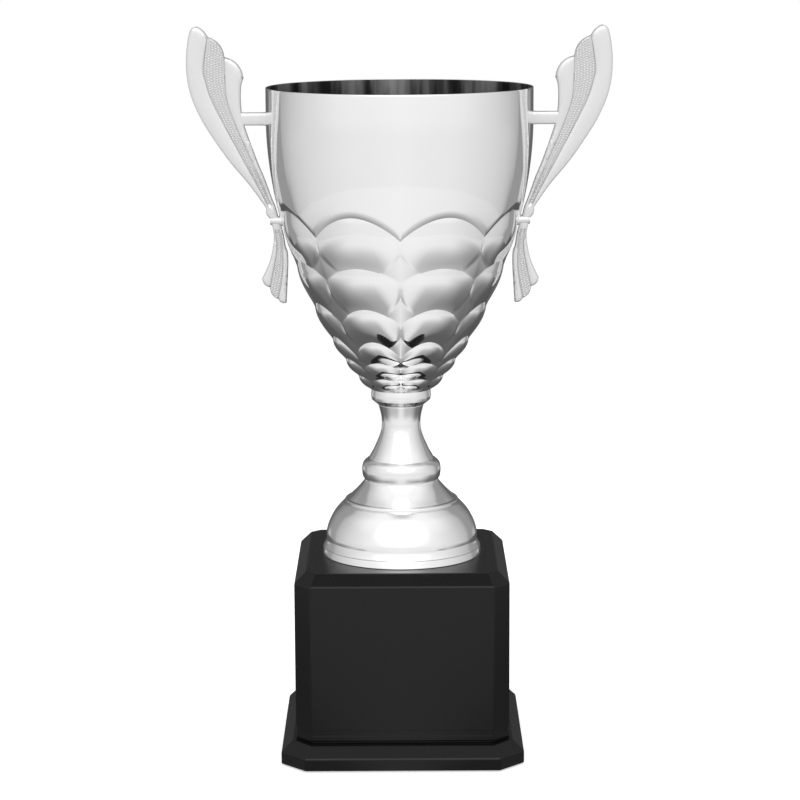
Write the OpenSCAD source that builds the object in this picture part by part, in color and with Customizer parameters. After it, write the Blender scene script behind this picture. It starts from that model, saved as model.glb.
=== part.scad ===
// Cup trophy: a pressed bowl with two winged handles, clamped by one long rod
// through a turned riser and a bell foot to a weighted square plinth.
// Millimetres, +Z up. The origin is on the floor under the middle of the plinth.

/* [Bowl] */
// Outside diameter of the bowl at its rim
bowl_d = 140; // [115:1:175]
// Height of the bowl from its seat to its rim
bowl_h = 160; // [130:1:195]
// Thickness of the bowl's sheet metal
bowl_wall = 1; // [0.8:0.1:1.5]
// Diameter of the flat seat under the bowl
bowl_seat_d = 32; // [27:1:40]
// How far each pressed tier swells beyond the bowl's plain curve
tier_bulge = 0.9; // [0.4:0.1:1.3]

/* [Handles] */
// Thickness of a handle, front to back
handle_t = 5; // [4.6:0.1:7]
// Depth of the beaded band below the plain feathers
band_depth = 0.4; // [0.2:0.1:0.8]
// Distance from the rim down to the upper fixing
strap_drop = 16.5; // [12:0.5:24]
// Height of the strap at the upper fixing
strap_h = 6.8; // [5.5:0.1:9]
// Distance from the upper fixing down to the lower fixing
fixing_pitch = 53.5; // [50:0.5:57]
// Diameter of the boss at the lower fixing
boss_d = 5.8; // [5:0.1:7]
// Smallest gap between a handle's tail and the bowl
tail_gap = 0.6; // [0.5:0.1:4]

/* [Handle fixings] */
// Diameter of the screws that hold the handles
screw_d = 3; // [2.5:0.1:3.4]
// Length of those screws under the head
screw_l = 6; // [5:0.5:7]
// Diameter of their heads
screw_head_d = 5.6; // [4.6:0.1:7]
// Height of their heads
screw_head_h = 2; // [1.5:0.1:3]
// Diameter of the washers under the heads
washer_d = 8; // [7:0.5:10]
// Thickness of those washers
washer_t = 0.8; // [0.5:0.1:1.5]
// Gap between the middle of a washer and the curved wall that it bears on
washer_seat = 0.3; // [0.3:0.05:0.6]

/* [Riser] */
// Diameter of the collar under the bowl
collar_d = 31.8; // [28:0.2:38]
// Height of the collar
collar_h = 8.5; // [6:0.5:12]
// Diameter of the stem at its waist
stem_waist_d = 20.6; // [16:0.2:26]
// Diameter of the stem at its lower end
stem_foot_d = 35; // [29:0.2:37]
// Height of the stem between the collar and the bead ring
stem_h = 29.2; // [22:0.5:40]
// Diameter of the bead ring
bead_d = 42.2; // [40:0.2:48]
// Height of the bead ring
bead_h = 10.8; // [8:0.2:14]
// How far the stem is let into the bead ring
seat_depth = 1.2; // [0.6:0.1:2]

/* [Foot] */
// Diameter of the step at the bottom of the cone
cone_d = 60.8; // [52:0.2:62]
// Height of the cone
cone_h = 12.8; // [10:0.2:18]
// Diameter of the bell where its side is steepest
bell_d = 81; // [74:0.5:90]
// Height of the bell
bell_h = 23.9; // [18:0.5:32]
// Thickness of the bell's sheet metal
bell_wall = 1; // [0.8:0.1:1.6]
// Diameter of the flat ring that the bell stands on
ring_d = 86; // [84:0.5:100]
// Height of that ring
ring_h = 3.9; // [2.5:0.1:6]
// How much the ring draws in on each side towards its top
ring_draw = 0.8; // [0:0.1:1.5]

/* [Tie rod] */
// Diameter of the threaded rod
rod_d = 6; // [5:0.5:8]
// Gap round the rod in every piece that it passes through
rod_gap = 0.3; // [0.2:0.1:0.5]
// Width across the flats of the rod's nuts
nut_af = 10; // [9:0.5:13]
// Height of the nuts
nut_h = 5; // [4:0.5:7]
// Diameter of the large washers under the nuts
rod_washer_d = 22; // [18:1:25]
// Thickness of the large washers
rod_washer_t = 1.6; // [1:0.1:2.5]
// How far the rod stands out of the lower nut
rod_tail = 4; // [2:0.5:8]

/* [Plinth] */
// Width and depth of the plinth's body
plinth_w = 112.6; // [100:0.2:124]
// Top of the plinth above the floor
plinth_top_z = 103.5; // [80:0.5:130]
// Leg of the chamfer on the body's upright edges
edge_chamfer = 8.4; // [6:0.2:12]
// Leg of the bevel round the body's top
top_bevel = 6; // [4:0.2:9]
// Thickness of the body's top
top_wall = 3.5; // [2.5:0.1:6]
// Thickness of the body's sides below the shoulder
side_wall = 2.4; // [1.8:0.1:3.5]
// How far the body steps in where it drops into the skirt
shoulder = 1.2; // [0.8:0.1:2]
// Height of the shadow gap between the skirt and the body
shadow_gap = 1.5; // [0.8:0.1:3]
// Height of the groove near the bottom of the body
groove_h = 3; // [2:0.1:5]
// Depth of that groove
groove_depth = 0.4; // [0.2:0.1:0.8]
// Distance from the body's lower edge to the groove
groove_up = 2.7; // [1.5:0.1:6]

/* [Skirt] */
// Width and depth of the skirt
skirt_w = 128; // [124:0.5:150]
// Height of the skirt
skirt_h = 12.4; // [10:0.2:18]
// Leg of the chamfer on the skirt's corners
skirt_chamfer = 13; // [9:0.5:18]
// Leg of the bevel round the skirt's top
skirt_bevel = 6; // [4:0.2:7]
// Thickness of the ledge that carries the body
ledge_t = 2; // [1.5:0.1:3]
// Width of that ledge inside the body's outline
ledge_w = 9.5; // [8:0.5:12]
// Gap between the skirt and the pieces that drop into it
fit_gap = 0.15; // [0.1:0.05:0.4]

/* [Underside] */
// Thickness of the bottom cover
cover_t = 2; // [1.8:0.1:3]
// How far the cover sits up inside the skirt
cover_recess = 0.4; // [0.2:0.1:1]
// How far the skirt stands above the floor
stand_off = 0.6; // [0.4:0.1:2]
// Diameter of the foot pads
pad_d = 16; // [12:1:22]
// Gap between each pad and the corner screw beside it
pad_gap = 6.1; // [2:0.1:10]
// Height of the ballast block
ballast_h = 26; // [15:1:50]
// Diameter of the base screws
base_screw_d = 4; // [3:0.1:4.5]
// Length of the base screws
base_screw_l = 16; // [12:1:24]
// Diameter of the base screws' countersunk heads
base_head_d = 7.4; // [6:0.1:8.5]
// Diameter of the bosses that take the corner screws
post_d = 10; // [8:0.5:12]
// Height of those bosses
post_h = 22; // [16:1:30]
// Distance between the two screws that hold the ballast
ballast_pitch = 40; // [30:1:52]

/* [Hidden] */
$fn = 96;
fine = 0.01;

// Heights of the joints, from the floor up
skirt_top = stand_off + skirt_h;
body_z = skirt_top + shadow_gap;
cover_z = stand_off + cover_recess;
ledge_z = cover_z + cover_t;
spigot_z = ledge_z + ledge_t;
ring_z = plinth_top_z;
bell_z = ring_z + ring_h;
cone_z = bell_z + bell_h;
bead_z = cone_z + cone_h;
stem_z = bead_z + bead_h;
collar_z = stem_z + stem_h;
seat_z = collar_z + collar_h;
rim_z = seat_z + bowl_h;

// The bowl's plain curve: shares of the rim radius and of the bowl's height
curve_low = [0.557, 0.1375];
curve_mid = 0.519;
curve_top = 0.894;
bowl_r = bowl_d / 2;
bowl_rings = 72;

// Tier edges, as shares of the height of the first tier's top
tier_share = [0, 0.095, 0.165, 0.26, 0.47, 0.742, 1];
tier_top = fixing_low_z() - seat_z - washer_d / 2 - 1;

// Bores and the silver and black colours
rod_hole_r = rod_d / 2 + rod_gap;
silver = [0.84, 0.85, 0.86];
bright_plastic = [0.9, 0.91, 0.92];
zinc = [0.68, 0.69, 0.7];
gloss_black = [0.05, 0.05, 0.055];

// ---- Curves ----

// Point between b and c of a smooth curve through a, b, c and d
function spline_at(a, b, c, d, t) =
    0.5 * (2 * b + (c - a) * t + (2 * a - 5 * b + 4 * c - d) * t * t
        + (3 * b - a - 3 * c + d) * t * t * t);

// A smooth curve through the points p; it stops one step short of the last one
function spline(p, steps = 5) = [
    for (i = [0 : len(p) - 2], k = [0 : steps - 1])
        spline_at(p[max(i - 1, 0)], p[i], p[i + 1], p[min(i + 2, len(p) - 1)], k / steps)];

// A round arch from a to b that stands out by rise to the right of its way
function arch(a, b, rise, steps = 7) =
    let (d = b - a, out = [d[1], -d[0]] / norm(d), peak = (a + b) / 2 + 2 * rise * out)
    [for (k = [0 : steps - 1]) let (t = k / steps)
        (1 - t) * (1 - t) * a + 2 * t * (1 - t) * peak + t * t * b];

// The bowl's plain curve at t, as [radius, height above the seat]
function bowl_curve(t) =
    pow(1 - t, 3) * [bowl_seat_d / 2, 0]
    + 3 * pow(1 - t, 2) * t * [curve_low[0] * bowl_r, curve_low[1] * bowl_h]
    + 3 * (1 - t) * t * t * [bowl_r, curve_mid * bowl_h]
    + t * t * t * [bowl_r, curve_top * bowl_h];

// The curve's parameter at height h, found by halving
function curve_t(h, lo = 0, hi = 1, n = 24) =
    n == 0 ? (lo + hi) / 2
    : let (m = (lo + hi) / 2)
        bowl_curve(m)[1] < h ? curve_t(h, m, hi, n - 1) : curve_t(h, lo, m, n - 1);

// Plain radius of the bowl at height h above its seat
function plain_r(h) = h >= curve_top * bowl_h ? bowl_r : bowl_curve(curve_t(h))[0];

// Lean of the bowl's wall at height h, in degrees from upright
function lean(h) = atan((plain_r(h + 0.5) - plain_r(h - 0.5)) / 1);

// Swell of the pressed tiers at height h, from none at each tier's edges
function swell(h) =
    h >= tier_top ? 0
    : let (s = h / tier_top,
           k = max([for (i = [0 : len(tier_share) - 2]) if (tier_share[i] <= s) i]),
           part = (s - tier_share[k]) / (tier_share[k + 1] - tier_share[k]))
        tier_bulge * sin(180 * part) * min(1, 2.5 * (tier_share[k + 1] - tier_share[k]) + 0.3);

function wall_r(h) = plain_r(h) + swell(h);

// ---- Bowl ----

// Outer or inner profile of the bowl from height `from` to the rim
function bowl_profile(from, inset) = [
    for (i = [0 : bowl_rings]) let (h = from + (bowl_h - from) * pow(i / bowl_rings, 1.25))
        [wall_r(h) - inset, h]];

// Everything inside the bowl's outer surface
module bowl_outside() {
    translate([0, 0, seat_z]) rotate_extrude()
        polygon(concat([[0, 0]], bowl_profile(0, 0), [[0, bowl_h]]));
}

// Moves its children to a fixing on the +X wall, their X axis square to the wall
module at_fixing(z) {
    h = z - seat_z;
    translate([plain_r(h), 0, z]) rotate([0, lean(h), 0]) children();
}

// A cylinder along X from x0 to x1
module bar_x(x0, x1, d) {
    translate([x0, 0, 0]) rotate([0, 90, 0]) cylinder(d = d, h = x1 - x0, $fn = 48);
}

module both_sides() {
    children();
    mirror([1, 0, 0]) children();
}

function fixing_high_z() = rim_z - strap_drop;
function fixing_low_z() = fixing_high_z() - fixing_pitch;

module bowl() {
    color(silver) difference() {
        translate([0, 0, seat_z]) rotate_extrude() polygon(concat(
            [[rod_hole_r, 0]], bowl_profile(0, 0),
            [for (i = [bowl_rings : -1 : 0]) bowl_profile(bowl_wall, bowl_wall)[i]],
            [[rod_hole_r, bowl_wall]]));
        both_sides() {
            at_fixing(fixing_high_z()) bar_x(-2 * washer_d, washer_d, screw_d);
            at_fixing(fixing_low_z()) bar_x(-2 * washer_d, washer_d, screw_d);
        }
    }
}

// ---- Handles ----
// Points are [outwards, up] from the middle of the lower fixing on the handle.

wing_tip = [40.2, 101.6];
wing_outer = [wing_tip, [43.5, 99], [45.6, 87], [45.4, 75], [43.3, 65], [39.6, 56],
    [34.9, 47.5], [24.6, 32.3], [13.7, 19], [7.7, 10.6], [5, 6.6]];
knot = [[5, 6.6], [5, 3.6], [2.8, 0.8]];
tail_outer = [[2.8, 0.8], [1.2, -7.4], [2, -15.4], [4, -22.8], [7.7, -30.7]];
tail_tips = [[7.7, -30.7], [3.6, -35.3], [-0.7, -41.6], [-5, -43.6]];
tail_inner = [[-5, -43.6], [-6.1, -25.2], [-6, -17], [-4.9, -13.6], [-3.7, -6.2], [-1.3, 1.4]];
wing_inner = [[-1.3, 1.4], [0, 6.8], [2.2, 12.4], [5.7, 22.3], [9.7, 32.1], [15.7, 49.4],
    [17.2, 57.3], [17.6, 65], [17.2, 71], [16, 74.6]];
top_notches = [[16, 74.6], [25.8, 85.7], [34.3, 96.1], wing_tip];
band_outer = [[34.3, 96.1], [36.7, 80], [35.6, 72.8], [32.9, 64], [26.7, 51], [16.7, 32.1],
    [6.8, 13.6], [4.2, 8.4]];
band_inner = [[2.4, 8.4], [4.4, 13.4], [12.8, 32.6], [19.7, 48.8], [24.5, 62.4],
    [25.6, 75], [25.8, 85.7]];
tail_band_outer = [[0.1, -5], [-0.4, -14.9], [0.8, -22.4], [3.6, -35.3]];
tail_band_inner = [[-0.7, -41.6], [-2.9, -30], [-3.5, -20], [-2.9, -9], [-1.7, -5]];

// Handles stand off so that the tail clears the bowl by tail_gap
handle_x = max([for (p = tail_inner) if (p[1] < -2)
    wall_r(max(fixing_low_z() - seat_z + p[1], 0)) + tail_gap - p[0]]);

module handle_outline() {
    polygon(concat(
        spline(wing_outer), spline(knot), spline(tail_outer),
        arch(tail_tips[0], tail_tips[1], -1.1), arch(tail_tips[1], tail_tips[2], -1.3),
        arch(tail_tips[2], tail_tips[3], -1),
        spline(tail_inner), spline(wing_inner),
        arch(top_notches[0], top_notches[1], -2.6), arch(top_notches[1], top_notches[2], -2.2),
        arch(top_notches[2], top_notches[3], -0.8)));
}

module band_outline() {
    polygon(concat(spline(band_outer), [band_outer[7]], spline(band_inner),
        arch(top_notches[1], top_notches[2], -2.2)));
    polygon(concat(spline(tail_band_outer), arch(tail_tips[1], tail_tips[2], -1.3),
        spline(tail_band_inner), [tail_band_inner[4]]));
}

// Stands a flat outline up in the XZ plane, between y0 and y1
module upright(y0, y1) {
    translate([0, y1, 0]) rotate([90, 0, 0]) linear_extrude(y1 - y0) children();
}

pilot_l = screw_l - washer_t - washer_seat - bowl_wall + 0.3;

module handle() {
    half = handle_t / 2;
    strap_out = 19;
    difference() {
        union() {
            difference() {
                translate([handle_x, 0, fixing_low_z()]) upright(-half, half) handle_outline();
                for (side = [-1, 1])
                    translate([handle_x, side * half, fixing_low_z()])
                        upright(-band_depth, band_depth) band_outline();
            }
            translate([bowl_r - 2, -half, fixing_high_z() - strap_h / 2])
                cube([handle_x + strap_out - bowl_r + 2, handle_t, strap_h]);
            at_fixing(fixing_high_z()) bar_x(-2, 1.8, strap_h + 3);
            at_fixing(fixing_low_z()) bar_x(-2, handle_x + 1.5 - plain_r(tier_top), boss_d);
        }
        bowl_outside();
        at_fixing(fixing_high_z()) bar_x(-2, pilot_l, screw_d);
        at_fixing(fixing_low_z()) bar_x(-2, pilot_l, screw_d);
    }
}

module handle_left() {
    color(bright_plastic) mirror([1, 0, 0]) handle();
}

module handle_right() {
    color(bright_plastic) handle();
}

// A screw and its washer lie along a fixing's X axis, inside the bowl. The flat washer
// stands off the curved wall by washer_seat, so that only its edge comes close.
module screw() {
    head_x = -bowl_wall - washer_seat - washer_t;
    bar_x(head_x, head_x + screw_l, screw_d);
    difference() {
        bar_x(head_x - screw_head_h, head_x, screw_head_d);
        translate([head_x - screw_head_h, 0, 0]) rotate([0, 90, 0])
            cylinder(d = screw_d * 0.9, h = screw_head_h, center = true, $fn = 6);
    }
}

module washer() {
    outer_x = -bowl_wall - washer_seat;
    difference() {
        bar_x(outer_x - washer_t, outer_x, washer_d);
        bar_x(outer_x - washer_t - 1, outer_x + 1, screw_d);
    }
}

module handle_screws() {
    color(zinc) both_sides() {
        at_fixing(fixing_high_z()) screw();
        at_fixing(fixing_low_z()) screw();
    }
}

module handle_washers() {
    color(zinc) both_sides() {
        at_fixing(fixing_high_z()) washer();
        at_fixing(fixing_low_z()) washer();
    }
}

// ---- Rod and its nuts ----

bowl_washer_z = seat_z + bowl_wall;
bowl_nut_z = bowl_washer_z + rod_washer_t;
rod_washer_z = plinth_top_z - top_wall - rod_washer_t;
rod_nut_z = rod_washer_z - nut_h;
rod_z = rod_nut_z - rod_tail;
rod_top = bowl_nut_z + nut_h;

module ring(d, bore, h) {
    difference() {
        cylinder(d = d, h = h);
        translate([0, 0, -1]) cylinder(d = bore, h = h + 2);
    }
}

module hexagon_prism(h) {
    cylinder(d = nut_af / cos(30), h = h, $fn = 6);
}

module bowl_washer() {
    color(zinc) translate([0, 0, bowl_washer_z])
        ring(rod_washer_d, rod_d + 2 * rod_gap, rod_washer_t);
}

// A closed cap nut, with a dome over the end of the rod
module bowl_nut() {
    dome_r = nut_af * 0.46;
    color(zinc) translate([0, 0, bowl_nut_z]) difference() {
        union() {
            hexagon_prism(nut_h);
            translate([0, 0, nut_h]) intersection() {
                sphere(r = dome_r);
                cylinder(r = dome_r, h = dome_r);
            }
        }
        translate([0, 0, -fine]) cylinder(d = rod_d, h = nut_h + fine);
    }
}

module tie_rod() {
    color(zinc) translate([0, 0, rod_z]) cylinder(d = rod_d, h = rod_top - rod_z);
}

module rod_washer() {
    color(zinc) translate([0, 0, rod_washer_z])
        ring(rod_washer_d, rod_d + 2 * rod_gap, rod_washer_t);
}

module rod_nut() {
    color(zinc) translate([0, 0, rod_nut_z]) difference() {
        hexagon_prism(nut_h);
        translate([0, 0, -1]) cylinder(d = rod_d, h = nut_h + 2);
    }
}

// ---- Riser ----

// A turned piece with the rod's bore through it; `side` runs from bottom to top
module turned(side) {
    rotate_extrude() polygon(concat([[rod_hole_r, side[0][1]]], side,
        [[rod_hole_r, side[len(side) - 1][1]]]));
}

module collar() {
    r = collar_d / 2;
    neck = stem_waist_d / 2 + 1.8;
    color(silver) translate([0, 0, collar_z]) turned(concat(
        [[neck, 0], [r - 1.2, 2.1]],
        spline([[r - 0.3, 2.9], [r, collar_h / 2 + 1], [r - 0.3, collar_h]], 8),
        [[r - 0.3, collar_h]]));
}

module stem() {
    waist = stem_waist_d / 2;
    foot = stem_foot_d / 2;
    side = [[foot, 0], [foot - 1.1, 0.07 * stem_h], [foot - 2.6, 0.16 * stem_h],
        [foot - 4.3, 0.28 * stem_h], [waist + 1.2, 0.42 * stem_h], [waist + 0.2, 0.55 * stem_h],
        [waist, 0.68 * stem_h], [waist + 0.45, 0.82 * stem_h], [waist + 1.8, stem_h]];
    color(silver) translate([0, 0, stem_z]) turned(concat(
        [[foot, -seat_depth]], spline(side, 4), [side[len(side) - 1]]));
}

module bead_ring() {
    r = bead_d / 2;
    side = [[r - 1.1, 0], [r - 0.35, 0.14 * bead_h], [r, 0.42 * bead_h],
        [r - 0.35, 0.7 * bead_h], [r - 1.5, 0.87 * bead_h], [r - 3.4, bead_h]];
    color(silver) translate([0, 0, bead_z]) difference() {
        turned(concat(spline(side, 5), [side[len(side) - 1]]));
        translate([0, 0, bead_h - seat_depth]) cylinder(d = stem_foot_d, h = bead_h);
    }
}

// A hollow cone with a hub round the rod and a thin step at its bottom edge
module foot_cone() {
    step = cone_d / 2;
    neck = bead_d / 2 - 1.4;
    side = [[step - 1.6, 2.2], [step - 4.6, 0.38 * cone_h], [step - 7.6, 0.62 * cone_h],
        [neck + 0.4, 0.88 * cone_h], [neck, cone_h]];
    color(silver) translate([0, 0, cone_z]) difference() {
        turned(concat([[step, 0], [step, 1.2], [step - 0.5, 1.7]],
            spline(side, 5), [[neck, cone_h]]));
        translate([0, 0, -fine]) difference() {
            cylinder(r = neck - 2.5, h = cone_h / 2);
            cylinder(r = rod_d + 2, h = cone_h);
        }
    }
}

// Outside of the bell from its lower lip to its shoulder, inset by the sheet
function bell_side(inset) =
    let (lip = ring_d / 2 - ring_draw, r = bell_d / 2, top = cone_d / 2 + 1.3)
    concat(
        [[lip - 0.2 - inset, 0], [lip - 0.3 - inset, 0.6], [lip - 1 - inset, 1.8],
         [r + 0.3 - inset, 2.9]],
        spline([[r - inset, 4.2], [r - 0.1 - inset, 0.32 * bell_h], [r - 1.6 - inset, 0.54 * bell_h],
            [r - 4.9 - inset, 0.79 * bell_h], [top - inset, bell_h - 0.6]], 6),
        [[top - inset, bell_h - 0.6]]);

module foot_bell() {
    outer = bell_side(0);
    inner = bell_side(bell_wall);
    last = len(inner) - 1;
    color(silver) translate([0, 0, bell_z]) rotate_extrude() polygon(concat(
        outer, [[cone_d / 2 + 0.6, bell_h], [rod_hole_r, bell_h],
            [rod_hole_r, bell_h - bell_wall - 0.6]],
        [for (i = [last : -1 : 0]) [inner[i][0], min(inner[i][1], bell_h - bell_wall - 0.6)]]));
}

// The flat ring under the bell, with a spigot that centres the bell
module foot_ring() {
    color(silver) translate([0, 0, ring_z]) difference() {
        union() {
            cylinder(d1 = ring_d, d2 = ring_d - 2 * ring_draw, h = ring_h);
            cylinder(r = bell_d / 2 - bell_wall - fit_gap, h = ring_h + 2.5);
        }
        translate([0, 0, ring_h / 2]) cylinder(r = bell_d / 2 - bell_wall - 3, h = ring_h + 2.5);
        translate([0, 0, -1]) cylinder(r = rod_hole_r, h = ring_h + 2);
    }
}

// ---- Plinth ----

// Distance from the middle to the flat of a square's chamfered corner
function corner_r(w, chamfer) = (w - chamfer) / sqrt(2);

// A square block with chamfered upright edges and a bevel round its top
module bevelled_block(w, chamfer, h, bevel) {
    intersection_for (turn = [0, 45, 90, 135]) rotate(turn) {
        r = turn % 90 == 0 ? w / 2 : corner_r(w, chamfer);
        translate([0, w, 0]) rotate([90, 0, 0]) linear_extrude(2 * w)
            polygon([[-r, 0], [r, 0], [r, h - bevel], [r - bevel, h], [bevel - r, h],
                [-r, h - bevel]]);
    }
}

// The chamfer that keeps a wall the same all round when a block is inset by d
function inset_chamfer(chamfer, d) = chamfer - (2 - sqrt(2)) * d;

// A plain chamfered block, inset by d from the plinth's body
module body_inset(d, h) {
    bevelled_block(plinth_w - 2 * d, inset_chamfer(edge_chamfer, d), h, 0);
}

inner_inset = shoulder + side_wall;
post_xy = (corner_r(plinth_w, edge_chamfer) - inner_inset - post_d / 2 + 0.8) / sqrt(2);
pad_xy = post_xy - ((pad_d + base_head_d) / 2 + pad_gap) / sqrt(2);

module at_corners(xy) {
    for (x = [-xy, xy], y = [-xy, xy]) translate([x, y, 0]) children();
}

module plinth_body() {
    color(gloss_black) difference() {
        union() {
            difference() {
                union() {
                    translate([0, 0, body_z])
                        bevelled_block(plinth_w, edge_chamfer, plinth_top_z - body_z, top_bevel);
                    translate([0, 0, spigot_z]) body_inset(shoulder, body_z - spigot_z + 1);
                }
                translate([0, 0, spigot_z - 1]) bevelled_block(
                    plinth_w - 2 * inner_inset, inset_chamfer(edge_chamfer, inner_inset),
                    plinth_top_z - top_wall - spigot_z + 1, top_bevel);
            }
            at_corners(post_xy) translate([0, 0, spigot_z]) cylinder(d = post_d, h = post_h);
        }
        translate([0, 0, body_z + groove_up]) difference() {
            translate([0, 0, groove_h / 2]) cube([2 * plinth_w, 2 * plinth_w, groove_h], true);
            translate([0, 0, -1]) body_inset(groove_depth, groove_h + 2);
        }
        translate([0, 0, plinth_top_z - top_wall - 1]) cylinder(r = rod_hole_r, h = top_wall + 2);
        at_corners(post_xy) translate([0, 0, spigot_z - 1])
            cylinder(d = base_screw_d, h = base_screw_l - cover_t - ledge_t + 2);
    }
}

module plinth_skirt() {
    color(gloss_black) difference() {
        translate([0, 0, stand_off])
            bevelled_block(skirt_w, skirt_chamfer, skirt_h, skirt_bevel);
        translate([0, 0, spigot_z]) body_inset(shoulder - fit_gap, skirt_h);
        translate([0, 0, -1]) body_inset(inner_inset - 1, ledge_z + 1);
        translate([0, 0, ledge_z - 1]) body_inset(shoulder + ledge_w, ledge_t + 2);
        at_corners(post_xy) translate([0, 0, ledge_z - 1])
            cylinder(d = base_screw_d + 2 * fit_gap, h = ledge_t + 2);
    }
}

// A countersunk screw pointing up, its head flush with the cover's underside
module countersunk() {
    cylinder(d = base_screw_d, h = base_screw_l);
    cylinder(d1 = base_head_d, d2 = base_screw_d, h = (base_head_d - base_screw_d) / 2);
}

module at_ballast_screws() {
    for (x = [-0.5, 0.5]) translate([x * ballast_pitch, 0, 0]) children();
}

module base_screws() {
    color(zinc) at_corners(post_xy) translate([0, 0, cover_z]) countersunk();
}

module ballast_screws() {
    color(zinc) at_ballast_screws() translate([0, 0, cover_z]) countersunk();
}

module bottom_cover() {
    color([0.12, 0.12, 0.12]) difference() {
        translate([0, 0, cover_z]) body_inset(inner_inset - 1 + fit_gap, cover_t);
        at_corners(post_xy) translate([0, 0, cover_z]) countersunk();
        at_ballast_screws() translate([0, 0, cover_z]) countersunk();
    }
}

module ballast() {
    color([0.55, 0.54, 0.52]) difference() {
        translate([0, 0, ledge_z]) intersection() {
            body_inset(shoulder + ledge_w + fit_gap, ballast_h);
            cylinder(r = post_xy * sqrt(2) - post_d / 2 - 1, h = ballast_h);
        }
        at_ballast_screws() translate([0, 0, ledge_z - 1])
            cylinder(d = base_screw_d, h = base_screw_l - cover_t + 1.5);
    }
}

module foot_pads() {
    color([0.1, 0.1, 0.1]) at_corners(pad_xy) cylinder(d = pad_d, h = cover_z);
}

bowl();
handle_left();
handle_right();
handle_screws();
handle_washers();
bowl_nut();
bowl_washer();
collar();
stem();
bead_ring();
foot_cone();
foot_bell();
foot_ring();
tie_rod();
rod_washer();
rod_nut();
plinth_body();
plinth_skirt();
ballast();
ballast_screws();
bottom_cover();
base_screws();
foot_pads();
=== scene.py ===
# %% [markdown]
# # A two-handled cup trophy on a black plinth
# This notebook dresses a finished engineering model. The model fixes every size and place.
# Here each visible piece gets its real surface: polished sheet, plated riser, satin handles
# and glossy plinth. Lengths are metres; `MM` turns millimetres into metres.

# %% Load the fixed frame
import math

import bmesh
import bpy
import numpy as np
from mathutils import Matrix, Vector
from mathutils.geometry import delaunay_2d_cdt


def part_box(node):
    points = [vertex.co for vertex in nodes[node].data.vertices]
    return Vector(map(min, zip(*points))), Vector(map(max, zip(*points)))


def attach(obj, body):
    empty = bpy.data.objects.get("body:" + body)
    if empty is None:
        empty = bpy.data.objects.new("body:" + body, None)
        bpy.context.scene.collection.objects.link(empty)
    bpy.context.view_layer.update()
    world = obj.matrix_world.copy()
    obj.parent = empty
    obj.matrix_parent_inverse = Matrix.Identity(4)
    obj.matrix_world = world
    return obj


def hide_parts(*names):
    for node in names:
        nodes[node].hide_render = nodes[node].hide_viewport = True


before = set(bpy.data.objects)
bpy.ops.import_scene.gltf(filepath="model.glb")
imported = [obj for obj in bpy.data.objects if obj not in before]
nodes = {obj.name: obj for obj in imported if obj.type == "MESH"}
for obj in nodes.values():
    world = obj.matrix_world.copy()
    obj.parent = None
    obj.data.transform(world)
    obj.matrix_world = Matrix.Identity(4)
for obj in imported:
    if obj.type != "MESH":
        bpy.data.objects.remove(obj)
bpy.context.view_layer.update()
scene = bpy.context.scene
MM = 0.001

# %% [markdown]
# ## The camera
# A cup like this is photographed from a little above its middle with a long lens, so that
# the rim shows as a thin ellipse and the sides of the plinth stay almost upright.
# The camera looks along +Y and tips down by about ten degrees.

# %% Camera
lens_down = math.radians(10.416)
lens_roll = math.radians(0.29)
camera_data = bpy.data.cameras.new("trophy_camera")
camera_data.lens = 115.16
camera = bpy.data.objects.new("trophy_camera", camera_data)
camera.location = (0.0007, -1.3443, 0.4332)
camera.rotation_euler = (math.pi / 2 - lens_down, lens_roll, 0)
scene.collection.objects.link(camera)
scene.camera = camera
print("camera stands", round(-camera.location.y, 3), "m away")

# %% [markdown]
# ## Shader sums written as Python
# A material is a net of nodes. Drawing a sum such as `a * b + c` by hand takes many lines,
# so `Value` wraps a socket and lets Python's own operators add the Math nodes.
# `Finish` is one material: it makes nodes, and sets their options before their sockets.


# %% A value that adds up in the shader
class Value:
    def __init__(self, finish, socket):
        self.finish = finish
        self.socket = socket

    def sum_with(self, operation, *terms):
        return self.finish.node("ShaderNodeMath", {"operation": operation},
                                dict(enumerate(terms)))

    def __add__(self, other):
        return self.sum_with("ADD", self, other)

    def __sub__(self, other):
        return self.sum_with("SUBTRACT", self, other)

    def __rsub__(self, other):
        return self.sum_with("SUBTRACT", other, self)

    def __mul__(self, other):
        return self.sum_with("MULTIPLY", self, other)

    def __truediv__(self, other):
        return self.sum_with("DIVIDE", self, other)

    def __pow__(self, other):
        return self.sum_with("POWER", self, other)

    __radd__ = __add__
    __rmul__ = __mul__

    def clamp(self):
        return self.finish.node("ShaderNodeClamp", {}, {0: self})

    def ramp(self, low, high):
        """0 below `low`, 1 above `high`, smooth in between."""
        return self.finish.node("ShaderNodeMapRange", {"interpolation_type": "SMOOTHSTEP"},
                                {0: self, 1: low, 2: high, 3: 0.0, 4: 1.0})


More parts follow.
